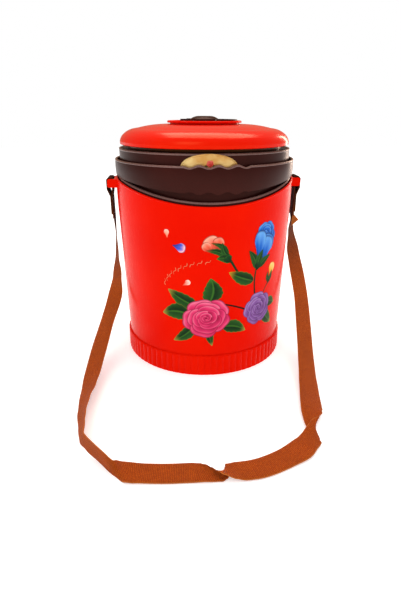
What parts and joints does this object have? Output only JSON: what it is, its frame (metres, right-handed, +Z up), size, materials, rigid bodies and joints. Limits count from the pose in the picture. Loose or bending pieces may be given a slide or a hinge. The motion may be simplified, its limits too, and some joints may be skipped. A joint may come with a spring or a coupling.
{
  "type": "tiffin carrier",
  "caption": "Insulated food carrier: a scooped bucket holding stacked tins and a bowl under a domed lid, with a fold-down handle and a webbing shoulder strap.",
  "frame": {"origin": "on the floor under the middle of the bucket's base", "axes": "+Z up; -Y towards the front, where the badge is and where the strap lies; +X to the right of someone facing the front"},
  "size_m": [0.2428, 0.3225, 0.244],
  "materials": {
    "red_plastic": "gloss",
    "base_plastic": "gloss",
    "brown_plastic": "gloss",
    "tin_steel": "satin",
    "tin_lid_plastic": "satin",
    "silicone": "matt",
    "foam": "matt",
    "gold_badge": "satin",
    "pin_steel": "satin",
    "webbing": "woven"
  },
  "bodies": {
    "bucket": {"outer_shell": "red_plastic", "fluted_base": "base_plastic", "inner_liner": "brown_plastic", "foam_jacket": "foam", "strap_lug_right": "red_plastic", "strap_lug_left": "red_plastic", "strap_end_right": "webbing", "strap_end_left": "webbing"},
    "lower_tin": {"lower_tin": "tin_steel"},
    "lower_tin_lid": {"lower_tin_lid": "tin_lid_plastic", "lower_tin_seal": "silicone"},
    "middle_tin": {"middle_tin": "tin_steel"},
    "middle_tin_lid": {"middle_tin_lid": "tin_lid_plastic", "middle_tin_seal": "silicone"},
    "top_bowl": {"top_bowl": "brown_plastic"},
    "lid": {"lid_inner_shell": "brown_plastic", "lid_foam": "foam", "lid_seal": "silicone", "lid_dome": "red_plastic", "lid_badge": "gold_badge", "top_plate": "red_plastic", "handle_hub": "brown_plastic", "pivot_pins": "pin_steel", "hub_screw": "pin_steel", "screw_cap": "brown_plastic"},
    "handle": {"carry_handle": "brown_plastic"},
    "strap": {"shoulder_strap": "webbing"}
  },
  "joints": [
    {"name": "lower_tin_lift", "type": "slide", "parent": "bucket", "child": "lower_tin", "axis": [0, 0, 1], "range_m": [0, 0.18]},
    {"name": "lower_tin_lid_lift", "type": "slide", "parent": "lower_tin", "child": "lower_tin_lid", "axis": [0, 0, 1], "range_m": [0, 0.03]},
    {"name": "middle_tin_lift", "type": "slide", "parent": "lower_tin_lid", "child": "middle_tin", "axis": [0, 0, 1], "range_m": [0, 0.13]},
    {"name": "middle_tin_lid_lift", "type": "slide", "parent": "middle_tin", "child": "middle_tin_lid", "axis": [0, 0, 1], "range_m": [0, 0.03]},
    {"name": "top_bowl_lift", "type": "slide", "parent": "middle_tin_lid", "child": "top_bowl", "axis": [0, 0, 1], "range_m": [0, 0.085]},
    {"name": "lid_lift", "type": "slide", "parent": "top_bowl", "child": "lid", "axis": [0, 0, 1], "range_m": [0, 0.06]},
    {"name": "handle_fold", "type": "hinge", "parent": "lid", "child": "handle", "pos_m": [0, 0, 0.2397], "axis": [0.7071, -0.7071, 0], "range_deg": [0, 90]},
    {"name": "strap_swing", "type": "hinge", "parent": "bucket", "child": "strap", "pos_m": [0, 0, 0.15], "axis": [-1, 0, 0], "range_deg": [0, 90]}
  ]
}
